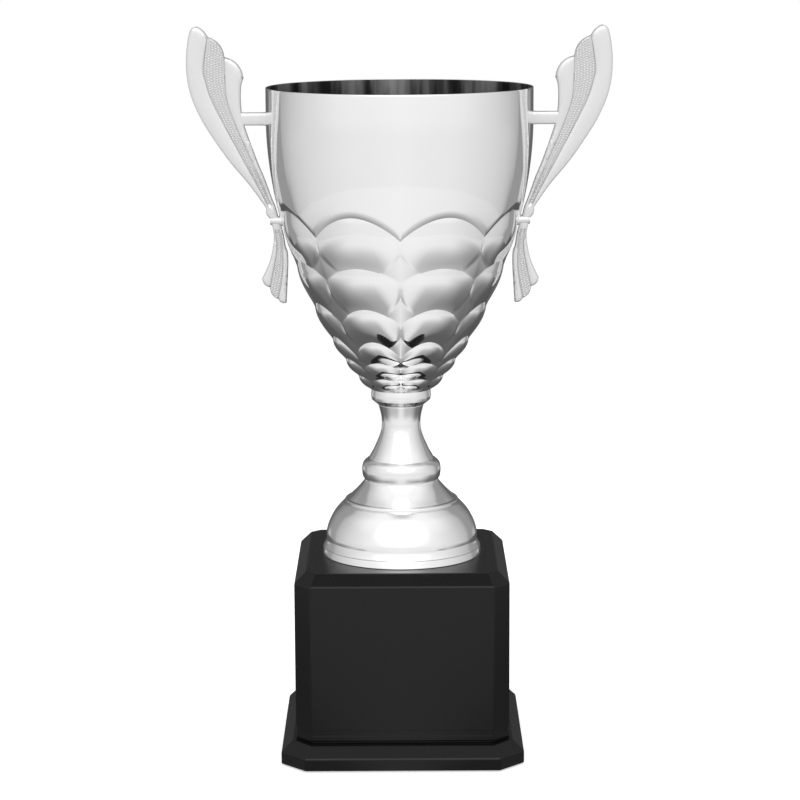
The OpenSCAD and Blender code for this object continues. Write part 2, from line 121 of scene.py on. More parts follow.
# %% A material under construction
class Finish:
    def __init__(self, name, tree_owner=None):
        self.material = tree_owner or bpy.data.materials.new(name)
        self.material.use_nodes = True
        self.tree = self.material.node_tree
        self.shader = self.tree.nodes.get("Principled BSDF")

    def node(self, kind, settings, inputs, output=0):
        made = self.tree.nodes.new(kind)
        for name, setting in settings.items():
            setattr(made, name, setting)
        for key, term in inputs.items():
            self.feed(made.inputs[key], term)
        return Value(self, made.outputs[output])

    def feed(self, socket, term):
        if isinstance(term, Value):
            self.tree.links.new(term.socket, socket)
        else:
            socket.default_value = term

    def set(self, **inputs):
        for name, term in inputs.items():
            self.feed(self.shader.inputs[name.replace("_", " ").title()
                                         .replace("Ior", "IOR")], term)

    def place(self, stretch=(1, 1, 1)):
        spot = self.node("ShaderNodeTexCoord", {}, {}, "Object")
        return self.node("ShaderNodeMapping", {}, {0: spot, 3: stretch})

    def noise(self, size, detail=3.0, stretch=(1, 1, 1), roughness=0.5):
        """Cloudy noise whose lumps are about `size` metres across."""
        return self.node("ShaderNodeTexNoise", {"noise_dimensions": "3D"},
                         {"Vector": self.place(stretch), "Scale": 1 / size,
                          "Detail": detail, "Roughness": roughness}, 0)

    def azimuth(self, x, y):
        """How far a direction is turned from the front: 0 in front, 1 straight behind."""
        angle = self.node("ShaderNodeMath", {"operation": "ARCTAN2"}, {0: x, 1: 0 - y})
        return angle.sum_with("ABSOLUTE", angle) / math.pi

    def blend(self, factor, first, second):
        """One colour where factor is 0, the other where it is 1."""
        return self.node("ShaderNodeMix", {"data_type": "RGBA"},
                         {0: factor, 6: first, 7: second}, 2)

    def bump(self, height, depth, strength=1.0):
        return self.node("ShaderNodeBump", {},
                         {"Strength": strength, "Distance": depth, "Height": height}, "Normal")


def grey(level, warmth=0.0):
    return (level * (1 + warmth), level, level * (1 - warmth), 1.0)


print("shader helpers ready")

# %% [markdown]
# ## Light
# Polished metal shows nothing but its surroundings. A product studio therefore wraps it in
# white and leaves dark gaps behind the object, to the left and right, so that round metal
# gets dark edges. The sky here is that studio: white to the eye, but graded for what the
# metal mirrors. Each table of stops is (azimuth, grey), from 0 in front to 1 straight behind:
# one for near the horizon, one for above it and one for the floor close to the plinth.

# %% The studio around the trophy
studio = bpy.data.worlds.new("studio")
scene.world = studio
sky = Finish("studio", studio)
for old in list(sky.tree.nodes):
    sky.tree.nodes.remove(old)
ray = sky.node("ShaderNodeTexCoord", {}, {}, "Generated")
axes = sky.tree.nodes.new("ShaderNodeSeparateXYZ")
sky.tree.links.new(ray.socket, axes.inputs[0])
side, away, up = (Value(sky, axes.outputs[i]) for i in range(3))
turn = sky.azimuth(side, away)
mirror_stops = ((0.0, 0.88), (0.26, 0.83), (0.41, 0.75), (0.5, 0.69), (0.59, 0.6),
                (0.65, 0.49), (0.7, 0.36), (0.75, 0.3), (0.77, 0.6), (0.825, 0.6),
                (0.85, 0.14), (0.93, 0.12), (1.0, 0.1))
upper_stops = ((0.0, 0.95), (0.3, 0.9), (0.5, 0.68), (0.68, 0.42), (0.84, 0.22), (1.0, 0.1))
floor_stops = ((0.0, 0.8), (0.05, 0.75), (0.14, 0.4), (0.3, 0.34), (0.42, 0.22), (0.5, 0.1),
               (1.0, 0.06))


def round_horizon(finish, azimuth, stops=mirror_stops):
    """The grey that mirrors see at an azimuth."""
    ring = finish.tree.nodes.new("ShaderNodeValToRGB")
    while len(ring.color_ramp.elements) > 1:
        ring.color_ramp.elements.remove(ring.color_ramp.elements[0])
    for index, (at, level) in enumerate(stops):
        stop = ring.color_ramp.elements[0] if index == 0 else ring.color_ramp.elements.new(at)
        stop.position = at
        stop.color = grey(level)
    finish.tree.links.new(azimuth.socket, ring.inputs[0])
    return Value(finish, ring.outputs[0])


# `up` is the sine of the height above the horizon. The steps go from low to high.
high_up = sky.blend(turn.ramp(0.35, 0.75), grey(1.0), grey(0.5))
mirrored = sky.blend(up.ramp(-0.12, -0.02), round_horizon(sky, turn),
                     round_horizon(sky, turn, upper_stops))
low_back = turn.ramp(0.62, 0.75) * (1 - up.ramp(-0.3, -0.2))
mirrored = sky.blend(low_back, mirrored, grey(0.09))
mirrored = sky.blend(up.ramp(0.35, 0.8), mirrored, high_up)
mirrored = sky.blend(up.ramp(0.955, 0.965), mirrored, grey(0.1))
key_light = up.ramp(0.0, 0.55) * (1 - up.ramp(0.8, 0.95)) * (1 - turn.ramp(0.02, 0.3))
mirrored = sky.blend(key_light, mirrored, grey(2.2))
paths = sky.tree.nodes.new("ShaderNodeLightPath")
glossy = Value(sky, paths.outputs["Is Glossy Ray"])
to_eye = Value(sky, paths.outputs["Is Camera Ray"])
seen = sky.blend(to_eye, sky.blend(glossy, grey(0.86), mirrored), grey(1.0))
glow = sky.node("ShaderNodeBackground", {}, {"Color": seen, "Strength": 1.0})
end = sky.tree.nodes.new("ShaderNodeOutputWorld")
sky.tree.links.new(glow.socket, end.inputs["Surface"])
scene.view_settings.view_transform = "Standard"
print("studio has", len(mirror_stops), "steps of grey round the horizon")

# %% [markdown]
# ## The floor, the cards and the lamp
# The trophy stands on a plain white sheet, lit a little from below like a light table, so
# that it stays white to the eye. Round the plinth it is duller in the mirrors, as a real
# sheet is where the object keeps the light off it, and it follows the studio's own greys
# further out. Two pairs of dark cards stand behind the trophy, left and right. Only mirrors
# see them: they give round metal its dark edges. A wide lamp hangs overhead.

# %% Floor
def stage_sheet(name, corners, material):
    mesh = bpy.data.meshes.new(name)
    mesh.from_pydata(corners, [], [list(range(len(corners)))])
    mesh.materials.append(material)
    laid = bpy.data.objects.new(name, mesh)
    scene.collection.objects.link(laid)
    return laid


sheet = Finish("white_sheet")
to_eye = sheet.node("ShaderNodeLightPath", {}, {}, "Is Camera Ray")
spot = sheet.place()
out = sheet.node("ShaderNodeVectorMath", {"operation": "LENGTH"}, {0: spot}, "Value")
east, north = (sheet.node("ShaderNodeSeparateXYZ", {}, {0: spot}, k) for k in (0, 1))
bearing = sheet.azimuth(east, north)
beside_plinth = bearing.ramp(0.3, 0.47) * (1 - bearing.ramp(0.53, 0.62))
beside_plinth = beside_plinth * (1 - out.ramp(0.3, 0.75))
lit = out.ramp(0.12, 0.45) * (1 - bearing.ramp(0.62, 0.75)) * (1 - 0.6 * beside_plinth)
in_shade = bearing.ramp(0.42, 0.6) * (1 - out.ramp(0.4, 0.7))
in_mirror = sheet.blend(lit * (1 - 0.85 * in_shade),
                        round_horizon(sheet, bearing, floor_stops), round_horizon(sheet, bearing))
to_mirror = sheet.node("ShaderNodeLightPath", {}, {}, "Is Glossy Ray")
paper = sheet.blend(sheet.noise(0.08), grey(0.92), grey(0.94))
sheet.set(base_color=sheet.blend(to_mirror, paper, grey(0.0)), roughness=0.9,
          emission_color=sheet.blend(to_mirror, sheet.blend(to_eye, grey(0.0), grey(0.5)),
                                     in_mirror), emission_strength=1.0)
floor_radius = 0.8
rim_turns = [k * 2 * math.pi / 128 for k in range(128)]
stage_sheet("studio_floor", [(floor_radius * math.cos(t), floor_radius * math.sin(t), 0)
                             for t in rim_turns], sheet.material)
print("floor laid")


# %% Dark cards
def card(name, start, stop, level, distance=0.7, low=-0.3, high=0.9):
    """An upright card between two azimuths in degrees, counted from the front."""
    finish = Finish(name)
    finish.set(base_color=grey(0.0), emission_color=grey(level), emission_strength=1.0,
               roughness=1.0)
    ends = [(distance * math.sin(math.radians(a)), -distance * math.cos(math.radians(a)))
            for a in (start, stop)]
    corners = [(x, y, low) for x, y in ends] + [(x, y, high) for x, y in ends[::-1]]
    hung = stage_sheet(name, corners, finish.material)
    hung.visible_camera = hung.visible_diffuse = hung.visible_shadow = False
    return hung


for side_name, sign in (("left", -1), ("right", 1)):
    card("grey_card_" + side_name, sign * 118, sign * 136, 0.3)
    card("black_card_" + side_name, sign * 151, sign * 168, 0.12)
print("cards stand")


# %% Lamp
lamp_data = bpy.data.lights.new("overhead_softbox", "AREA")
lamp_data.shape = "RECTANGLE"
lamp_data.size = lamp_data.size_y = 1.8
lamp_data.energy = 5
lamp = bpy.data.objects.new("overhead_softbox", lamp_data)
lamp.location = (0, -0.2, 2.2)
lamp.visible_camera = lamp.visible_glossy = False
scene.collection.objects.link(lamp)
print("lamp hung")

# %% [markdown]
# ## Polished sheet and plated parts
# The bowl and the bell are pressed from thin sheet and buffed, so they mirror sharply but
# not perfectly: buffing leaves faint cloudy smears. A metal has no colour of its own apart
# from the tint of its mirror, which is Base Color with Metallic at one.


# %% Metal finishes
def metal(name, level, gloss, smear, smear_size=0.02, stretch=(1, 1, 1), warmth=0.0):
    made = Finish(name)
    cloud = made.noise(smear_size, 4.0, stretch)
    grain = made.noise(0.0012, 2.0, stretch)
    made.set(metallic=1.0, roughness=(gloss + smear * cloud + 0.01 * grain).clamp(),
             base_color=made.blend(cloud, grey(level * 0.975, warmth), grey(level, warmth)))
    made.set(normal=made.bump(cloud + 0.15 * grain, 0.00001, 0.4))
    return made.material


polished = metal("polished_sheet", 0.97, 0.03, 0.05)
pressed = metal("pressed_sheet", 0.96, 0.13, 0.06)
plated = metal("riser_chrome", 0.95, 0.11, 0.06, 0.012, (1, 1, 6))
zinc = metal("zinc_plate", 0.55, 0.28, 0.2, 0.004, warmth=0.01)
lining = metal("inside_of_bowl", 0.3, 0.3, 0.2, 0.006, (1, 1, 0.12))
streaks = Finish(lining.name, lining)
streak = streaks.noise(0.011, 3.0, (1, 1, 0.12)).ramp(0.38, 0.68)
streaks.set(base_color=streaks.blend(streak, grey(0.03), grey(0.4)))
print("metals:", polished.name, plated.name, zinc.name, lining.name)

# %% [markdown]
# ## Satin plastic, gloss black, and the quiet finishes underneath
# The handles are plastic with a bright satin coat: it glows rather than mirrors.
# The plinth is gloss black, and its look is the thin sheen on its edges plus the fine dust
# and polishing haze that black always shows.


# %% Other finishes
def satin(name, level):
    made = Finish(name)
    cloud = made.noise(0.006, 4.0)
    pores = made.noise(0.0006, 2.0)
    # Painted shade: a per-vertex mask darkens the handle's grooves and its beaded band, and also
    # makes them rougher.
    painted_shade = made.node("ShaderNodeAttribute", {"attribute_name": "painted_shade"}, {}, "Fac")
    coat = made.blend(cloud, grey(level * 0.985), grey(level))
    made.set(base_color=made.blend(painted_shade, coat, grey(level * 0.62)), metallic=0.7,
             roughness=0.27 + 0.08 * cloud + 0.2 * painted_shade)
    made.set(normal=made.bump(pores, 0.00002, 0.3))
    return made.material


def black_gloss(name, level, gloss):
    made = Finish(name)
    haze = made.noise(0.03, 5.0)
    dust = made.noise(0.0009, 2.0).ramp(0.62, 0.8)
    made.set(base_color=made.blend(dust * 0.35, grey(level), grey(level * 4)),
             roughness=gloss + 0.06 * haze + 0.1 * dust, ior=1.37)
    made.set(normal=made.bump(haze + 0.2 * dust, 0.00006, 0.25))
    return made.material


def matte(name, level, rough, lump, depth, metallic=0.0):
    made = Finish(name)
    grain = made.noise(lump, 5.0)
    made.set(base_color=made.blend(grain, grey(level * 0.7), grey(level * 1.2)),
             roughness=rough + 0.15 * grain, metallic=metallic)
    made.set(normal=made.bump(grain, depth, 0.6))
    return made.material


bright_plastic = satin("bright_plastic", 0.82)
gloss_black = black_gloss("gloss_black", 0.0025, 0.2)
cast_weight = matte("cast_weight", 0.12, 0.6, 0.0015, 0.0002, 0.8)
cover_plastic = matte("cover_plastic", 0.02, 0.5, 0.0006, 0.00005)
pad_rubber = matte("pad_rubber", 0.03, 0.75, 0.0009, 0.00008)
print("plastics:", bright_plastic.name, gloss_black.name, cover_plastic.name)

# %% [markdown]
# ## Turning meshes out of numbers
# `skin` closes a stack of rings into a surface. A ring is a row of points that goes once
# round, so a stack of rings is a turned piece, a bowl or a bevelled block. `soften` rounds
# the corners of a profile, because no real edge is perfectly sharp: the tiny round is what
# catches the light.


# %% Mesh helpers
def finish_piece(name, vertices, faces, material, slot, crease=30, marks=None):
    """marks holds one number per vertex under each name, for the material to read."""
    mesh = bpy.data.meshes.new(name)
    mesh.from_pydata([tuple(v) for v in vertices], [], faces)
    mesh.materials.append(material)
    for mark, levels in (marks or {}).items():
        mesh.attributes.new(mark, "FLOAT", "POINT").data.foreach_set("value", levels)
    shape = bmesh.new()
    shape.from_mesh(mesh)
    bmesh.ops.remove_doubles(shape, verts=shape.verts, dist=1e-7)
    bmesh.ops.recalc_face_normals(shape, faces=shape.faces)
    shape.to_mesh(mesh)
    shape.free()
    mesh.shade_smooth()
    mesh.set_sharp_from_angle(angle=math.radians(crease))
    piece = bpy.data.objects.new(name, mesh)
    scene.collection.objects.link(piece)
    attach(piece, "root")
    print(name, "made:", len(mesh.polygons), "faces")
    return piece


def skin(rings, closed_profile=False):
    """Quads between rings of equal length. Returns (vertices, faces)."""
    count = len(rings[0])
    grid = np.arange(len(rings) * count).reshape(len(rings), count)
    if closed_profile:
        grid = np.vstack([grid, grid[:1]])
    low, high = grid[:-1], grid[1:]
    quads = np.stack([low, np.roll(low, -1, 1), np.roll(high, -1, 1), high], axis=-1)
    return np.concatenate(rings), quads.reshape(-1, 4).tolist()


def soften(profile, radius, hold=0.00012, steps=4, closed=True):
    """Rounds each corner of a polyline of (r, z) points, and pins the flats beside it."""
    points = [np.array(p, float) for p in profile]
    out = []
    last = len(points) - 1
    for i, p in enumerate(points):
        if not closed and i in (0, last):
            out.append(p)
            continue
        before, after = points[i - 1], points[(i + 1) % len(points)]
        a, b = before - p, after - p
        la, lb = np.linalg.norm(a), np.linalg.norm(b)
        bend = math.degrees(math.acos(np.clip(np.dot(a, b) / (la * lb), -1, 1)))
        if bend > 160:
            out.append(p)
            continue
        cut = min(radius, 0.42 * la, 0.42 * lb)
        keep = min(hold, 0.05 * la, 0.05 * lb)
        a, b = a / la, b / lb
        out.append(p + a * (cut + keep))
        for k in range(steps + 1):
            t = k / steps
            out.append(p + a * cut * (1 - t) ** 2 + b * cut * t ** 2)
        out.append(p + b * (cut + keep))
    return out


def round_ring(radius, height, count):
    turn = np.arange(count) * 2 * math.pi / count
    return np.stack([radius * np.cos(turn), radius * np.sin(turn),
                     np.full(count, height)], axis=1)


def lathe(name, profile, material, slot, count=160, crease=30):
    rings = [round_ring(r, z, count) for r, z in profile]
    return finish_piece(name, *skin(rings, True), material, slot, crease)


def glide(points, steps=6):
    """A smooth curve through the points, without the last one."""
    p = [np.array(q, float) for q in points]
    out = []
    for i in range(len(p) - 1):
        a, b, c, d = p[max(i - 1, 0)], p[i], p[i + 1], p[min(i + 2, len(p) - 1)]
        for k in range(steps):
            t = k / steps
            out.append(0.5 * (2 * b + (c - a) * t + (2 * a - 5 * b + 4 * c - d) * t * t
                              + (3 * b - a - 3 * c + d) * t ** 3))
    return out


print("mesh helpers ready")

# %% [markdown]
# ## The bowl
# The real bowl is spun from sheet and then pressed with six rows of overlapping scales,
# eight round the bowl. Each scale is a low pillow. Going down, it leaves the line under the
# scale above almost upright, then curls in to the next line, so every line is a sharp
# valley. Where two neighbours part, a flat sliver of the plain wall shows.
# The rings of the mesh bend along the scale lines, so that each line is a true edge.

# %% Sizes of the bowl
bowl_low, bowl_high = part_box("bowl")
seat, rim = bowl_low.z, bowl_high.z
height = rim - seat
rim_radius = bowl_high.x
seat_radius = 16 * MM
columns = 8
scale_tops = np.array([97.5, 70.7, 48.5, 30.2, 17.9, 8.2]) * MM
scale_meets = np.array([85.7, 63.6, 40.0, 21.2, 13.9, 6.4]) * MM
line_depth = np.array([1.3, 0.9, 0.8, 0.7, 0.5, 0.3]) * MM
swell = np.array([0.7, 0.55, 0.5, 0.4, 0.3, 0.2]) * MM
curl = np.array([1.9, 1.7, 1.8, 2.0, 2.1, 2.1])
print("bowl: radius", round(rim_radius, 4), "height", round(height, 4))


# %% The bowl's plain curve
def plain_curve():
    t = np.linspace(0, 1, 2000)[:, None]
    corner = np.array([[seat_radius, 0], [0.557 * rim_radius, 0.1375 * height],
                       [rim_radius, 0.519 * height], [rim_radius, 0.894 * height]])
    return ((1 - t) ** 3 * corner[0] + 3 * (1 - t) ** 2 * t * corner[1]
            + 3 * (1 - t) * t ** 2 * corner[2] + t ** 3 * corner[3])


bowl_curve = plain_curve()


def plain_radius(h):
    return np.interp(h, bowl_curve[:, 1], bowl_curve[:, 0])


print("radius half way up:", round(float(plain_radius(height / 2)), 4))

# %% The scales
around = 480
turns = np.arange(around) * 2 * math.pi / around
across = (turns * columns / (2 * math.pi)) % 1 * 2 - 1
lines = [m + (t - m) * (1 - np.abs(across) ** 1.9) for t, m in zip(scale_tops, scale_meets)]
depths = [d * (1 - 0.45 * across ** 2) for d in line_depth]
wall_top = 106 * MM
fillet = 5 * MM


def fillet_row(t):
    """Plain wall above the first line, curling in to it."""
    h = wall_top + (lines[0] - wall_top) * t
    near = np.clip(1 - (h - lines[0]) / fillet, 0, 1)
    return h, plain_radius(h) - depths[0] * near ** 2


def scale_row(k, t):
    """One ring of tier k, at share t of the way down to the next line."""
    low = lines[k + 1] if k < 5 else np.zeros(around)
    low_depth = depths[k + 1] if k < 5 else np.zeros(around)
    h = lines[k] + (low - lines[k]) * t
    start = plain_radius(lines[k]) - depths[k]
    stop = plain_radius(low) - low_depth
    chord = start + (stop - start) * t
    pillow = (start - stop) * (t - t ** curl[k]) + swell[k] * math.sin(math.pi * t)
    # The scale narrows towards its lower end, has a fine step at its sides and swells softly
    # in its middle.
    gap = 0.42 * max(0, (t - 0.3) / 0.7) ** 1.5
    inward = (1 - gap - np.abs(across)) * plain_radius(h) * math.pi / columns
    edge = np.clip(inward / (1.8 * MM), 0, 1)
    near_edge = np.clip(np.abs(across) / (1 - gap), 0, 1)
    dome = (1 - near_edge ** 2) ** 1.4 * (1 - 0.65 * t ** 7)
    return h, chord + pillow * (0.2 + 0.17 * edge * (2 - edge) + 0.63 * dome)


rows = [(np.full(around, h), np.full(around, float(plain_radius(h))))
        for h in np.linspace(height - 1.2 * MM, wall_top, 14)]
rows += [fillet_row(t) for t in np.linspace(0, 1, 25)[1:]]
for k, steps in enumerate((32, 28, 24, 18, 14, 11)):
    rows += [scale_row(k, t) for t in np.linspace(0, 1, steps + 1)[1:]]
rows.append((np.zeros(around), np.full(around, 4 * MM)))
lip = [(0.0, -1.2), (0.0, -0.4), (-0.1, -0.12), (-0.3, 0.0), (-0.5, 0.0), (-0.65, -0.1),
       (-0.7, -0.3)]
lip_rows = [(np.full(around, height + z * MM), np.full(around, rim_radius + r * MM))
            for r, z in reversed(lip)]
rings = [np.stack([r * np.cos(turns), r * np.sin(turns), seat + h], axis=1)
         for h, r in lip_rows + rows[1:]]
bowl_skin = finish_piece("bowl_skin", *skin(rings), polished, "polished_sheet", 20)

# %% [markdown]
# ### The inside of the bowl
# Nobody buffs the inside, so it stays dull and dark, streaked by the tool that spun it.
# It is a second skin, one sheet's thickness behind the first.

# %% Lining
def behind(h, sheet):
    """Radius of the lining: one sheet behind the wall, and deeper behind the scales."""
    return float(plain_radius(h)) - (sheet + 1.8 * min(1, max(0, (118 - h / MM) / 25))) * MM


inner = [(behind(h, 0.7), h) for h in np.linspace(height - 0.2 * MM, 1.2 * MM, 80)]
inner += [(4 * MM, 1.0 * MM), (4 * MM, 0.6 * MM)]
inner += [(behind(h, 0.3), h) for h in np.linspace(1.2 * MM, height - 0.6 * MM, 40)]
lathe("bowl_lining", [(r, seat + h) for r, h in inner], lining, "polished_sheet", 128)
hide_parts("bowl")
print("bowl done")

# %% [markdown]
# ## The riser and the foot
# Between the bowl and the plinth stand five turned or pressed rings, threaded on one rod.
# Each is a lathe job: a profile swept round the axis. The profiles follow the engineering
# model, with every edge given the small round that a buffing wheel leaves.


# %% Riser profiles
def turned(name, profile, base, radius=0.35, crease=30, count=160):
    """profile is (radius, height) in millimetres above `base`, from bottom to top."""
    side = [(r * MM, base + z * MM) for r, z in profile]
    closed = [(3.4 * MM, side[0][1])] + side + [(3.4 * MM, side[-1][1])]
    piece = lathe(name + "_turned", soften(closed, radius * MM), plated, "riser_chrome",
                  count, crease)
    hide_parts(name)


def smooth(points, steps=5):
    return [tuple(p) for p in glide(points, steps)]


def base_of(name):
    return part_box(name)[0].z


turned("collar", [(12.1, 0), (14.7, 2.1)] + smooth(
    [(15.6, 2.9), (15.9, 5.25), (15.6, 8.5)], 8) + [(15.6, 8.5)], base_of("collar"))
turned("stem", [(17.5, 0)] + smooth(
    [(17.5, 1.2), (16.4, 3.24), (14.9, 5.87), (13.2, 9.38), (11.5, 13.46), (10.5, 17.26),
     (10.3, 21.06), (10.75, 25.14), (12.1, 30.4)], 5) + [(12.1, 30.4)], base_of("stem"))
turned("bead_ring", smooth(
    [(20.0, 0), (20.75, 1.5), (21.1, 4.54), (20.75, 7.56), (19.6, 9.4), (17.7, 10.8)], 5)
    + [(17.7, 10.8), (17.6, 9.7), (3.5, 9.7)], base_of("bead_ring"), 0.2)
turned("foot_cone", [(30.4, 0), (30.4, 1.2), (29.9, 1.75), (28.9, 2.2)] + smooth(
    [(28.8, 2.2), (25.8, 4.86), (22.8, 7.94), (20.1, 11.26), (19.7, 12.8)], 5)
    + [(19.7, 12.8)], base_of("foot_cone"), 0.25)
print("riser turned")

# %% Bell and its ring
bell_base = base_of("foot_bell")
bell_side = [(42.0, 0), (41.9, 0.6), (41.2, 1.8), (40.8, 2.9)] + smooth(
    [(40.5, 4.2), (40.4, 7.65), (38.9, 12.9), (35.6, 18.9), (31.7, 23.3)], 6) + [(31.7, 23.3)]
bell_inside = [(r - 1, min(z, 22.3)) for r, z in reversed(bell_side)]
bell = lathe("foot_bell_pressed", soften(
    [(r * MM, bell_base + z * MM) for r, z in
     bell_side + [(31.0, 23.9), (3.4, 23.9), (3.4, 22.3)] + bell_inside], 0.3 * MM),
    pressed, "polished_sheet", 192)
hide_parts("foot_bell")
ring_base = base_of("foot_ring")
ring_side = [(3.4, 0), (43, 0), (42.2, 3.9), (39.3, 3.9), (39.3, 6.4), (36.5, 6.4), (36.5, 1.95),
             (3.4, 1.95)]
foot_ring = lathe("foot_ring_turned", soften(
    [(r * MM, ring_base + z * MM) for r, z in ring_side], 0.4 * MM), plated,
    "riser_chrome", 192)
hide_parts("foot_ring")
print("foot done")

# %% [markdown]
# ## The plinth
# The plinth is two moulded boxes: a body and a skirt. Both are square with cut-off corners,
# so every level is the same eight-sided outline moved in or out. A stack of those outlines,
# with rounded corners, gives the walls, the groove, the bevels and the hollow inside.


# %% Eight-sided outlines
def cut_square(flat, corner, inset, level, radius=0.6 * MM, steps=3):
    """Ring with its flats at `flat` and its cut corners at `corner`, both less `inset`."""
    a = flat - inset
    b = min((corner - inset) * math.sqrt(2) - a, 0.92 * a)
    quarter = [np.array([a, -b]), np.array([a, b])]
    outline = []
    for q in range(4):
        c, s = math.cos(q * math.pi / 2), math.sin(q * math.pi / 2)
        outline += [np.array([c * p[0] - s * p[1], s * p[0] + c * p[1]]) for p in quarter]
    soft = soften(outline, radius, 0.0002, steps)
    return np.array([(x, y, level) for x, y in soft])


def block(name, profile, flat, corner, slot):
    """profile is a closed loop of (inset, level) in millimetres."""
    soft = soften([(i * MM, z * MM) for i, z in profile], 0.7 * MM)
    rings = [cut_square(flat, corner, i, z) for i, z in soft]
    count = len(rings[0])
    vertices, faces = skin(rings, True)
    return finish_piece(name, vertices, faces, gloss_black, slot, 50)


body_low, body_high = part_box("plinth_body")
skirt_low, skirt_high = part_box("plinth_skirt")
body_flat = body_high.x
body_corner = (2 * body_flat - 8.4 * MM) / math.sqrt(2)
top = body_high.z / MM
spigot = body_low.z / MM
body_profile = [(1.2, spigot), (1.2, 14.5), (0, 14.5), (0, 17.2), (0.4, 17.2), (0.4, 20.2),
                (0, 20.2), (0, top - 6), (6, top), (53, top), (53, top - 3.5), (9, top - 3.5),
                (3.6, top - 9), (3.6, spigot)]
plinth = block("plinth_body_moulding", body_profile, body_flat, body_corner, "gloss_black")
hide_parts("plinth_body")
skirt_flat = skirt_high.x
skirt_corner = (2 * skirt_flat - 13 * MM) / math.sqrt(2)
skirt_top = skirt_high.z / MM
foot = skirt_low.z / MM
skirt_profile = [(0, foot), (0, skirt_top - 6), (6, skirt_top), (8.75, skirt_top),
                 (8.75, spigot), (18.4, spigot), (18.4, spigot - 2), (10.3, spigot - 2),
                 (10.3, foot)]
skirt = block("plinth_skirt_moulding", skirt_profile, skirt_flat, skirt_corner, "gloss_black")
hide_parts("plinth_skirt")
print("plinth done")

# %% [markdown]
# ## The handles
# Each handle is one moulding in the shape of a wing: a plain feather outside, a beaded band
# in the middle, a plain feather inside, and a short tail below the lower fixing.
# Its outline is drawn as smooth curves. The space inside is filled with small triangles, and
# each point is lifted by its distance from the nearest line, so that every feather swells
# and every line is a groove. The back is the same, turned over.

# %% Handle outlines
# Points are (outwards, up) in millimetres from the middle of the lower fixing.
wing_tip = (40.2, 101.6)
wing_outer = [wing_tip, (43.5, 99), (45.6, 87), (45.4, 75), (43.3, 65), (39.6, 56),
              (34.9, 47.5), (24.6, 32.3), (13.7, 19), (7.7, 10.6), (5, 6.6)]
knot = [(5, 6.6), (5, 3.6), (2.8, 0.8)]
tail_outer = [(2.8, 0.8), (1.2, -7.4), (2, -15.4), (4, -22.8), (7.7, -30.7)]
tail_tips = [(7.7, -30.7), (3.6, -35.3), (-0.7, -41.6), (-5, -43.6)]
tail_inner = [(-5, -43.6), (-6.1, -25.2), (-6, -17), (-4.9, -13.6), (-3.7, -6.2), (-1.3, 1.4)]
wing_inner = [(-1.3, 1.4), (0, 6.8), (2.2, 12.4), (5.7, 22.3), (9.7, 32.1), (15.7, 49.4),
              (17.2, 57.3), (17.6, 65), (17.2, 71), (16, 74.6)]
notches = [(16, 74.6), (25.8, 85.7), (34.3, 96.1), wing_tip]
band_outer = [(34.3, 96.1), (36.7, 80), (35.6, 72.8), (32.9, 64), (26.7, 51), (16.7, 32.1),
              (6.8, 13.6), (4.2, 8.4)]
band_inner = [(25.8, 85.7), (25.6, 75), (24.5, 62.4), (19.7, 48.8), (12.8, 32.6), (4.4, 13.4),
              (2.4, 8.4)]
tail_band_outer = [(0.1, -5), (-0.4, -14.9), (0.8, -22.4), (3.6, -35.3)]
tail_band_inner = [(-1.7, -5), (-2.9, -9), (-3.5, -20), (-2.9, -30), (-0.7, -41.6)]


def lobe(a, b, rise, steps=8):
    """A round arch from a to b; it stands out to the left where rise is negative."""
    a, b = np.array(a, float), np.array(b, float)
    d = b - a
    peak = (a + b) / 2 + 2 * rise * np.array([d[1], -d[0]]) / np.linalg.norm(d)
    return [(1 - t) ** 2 * a + 2 * t * (1 - t) * peak + t * t * b
            for t in (k / steps for k in range(steps))]


outline = np.array(glide(wing_outer) + glide(knot) + glide(tail_outer)
                   + lobe(tail_tips[0], tail_tips[1], -1.1)
                   + lobe(tail_tips[1], tail_tips[2], -1.3)
                   + lobe(tail_tips[2], tail_tips[3], -1.0)
                   + glide(tail_inner) + glide(wing_inner)
                   + lobe(notches[0], notches[1], -2.6) + lobe(notches[1], notches[2], -2.2)
                   + lobe(notches[2], notches[3], -0.8))


def drawn(points):
    return np.array(glide(points) + [np.array(points[-1], float)])


grooves = [drawn(band_outer), drawn(band_inner), drawn(tail_band_outer),
           drawn(tail_band_inner)]
bands = [np.array(list(drawn(band_outer)) + list(drawn(band_inner))[::-1]
                  + lobe(notches[1], notches[2], -2.2)),
         np.array(list(drawn(tail_band_outer)) + lobe(tail_tips[1], tail_tips[2], -1.3)
                  + list(drawn(tail_band_inner))[::-1])]
print("handle outline:", len(outline), "points")


# %% Distances in the plane of the handle
def gap_to(points, line, closed=False):
    """Distance from each point to a polyline."""
    points = np.asarray(points, float)
    ends = np.roll(line, -1, 0) if closed else line[1:]
    starts = line if closed else line[:-1]
    best = np.full(len(points), 1e9)
    for a, b in zip(starts, ends):
        d = b - a
        t = np.clip((points - a) @ d / max(d @ d, 1e-12), 0, 1)
        best = np.minimum(best, np.linalg.norm(points - a - t[:, None] * d, axis=1))
    return best


def inside(points, ring):
    x, y = np.asarray(points, float).T
    hit = np.zeros(len(x), bool)
    for (x0, y0), (x1, y1) in zip(ring, np.roll(ring, -1, 0)):
        cross = ((y0 > y) != (y1 > y))
        hit ^= cross & (x < (x1 - x0) * (y - y0) / ((y1 - y0) or 1e-12) + x0)
    return hit


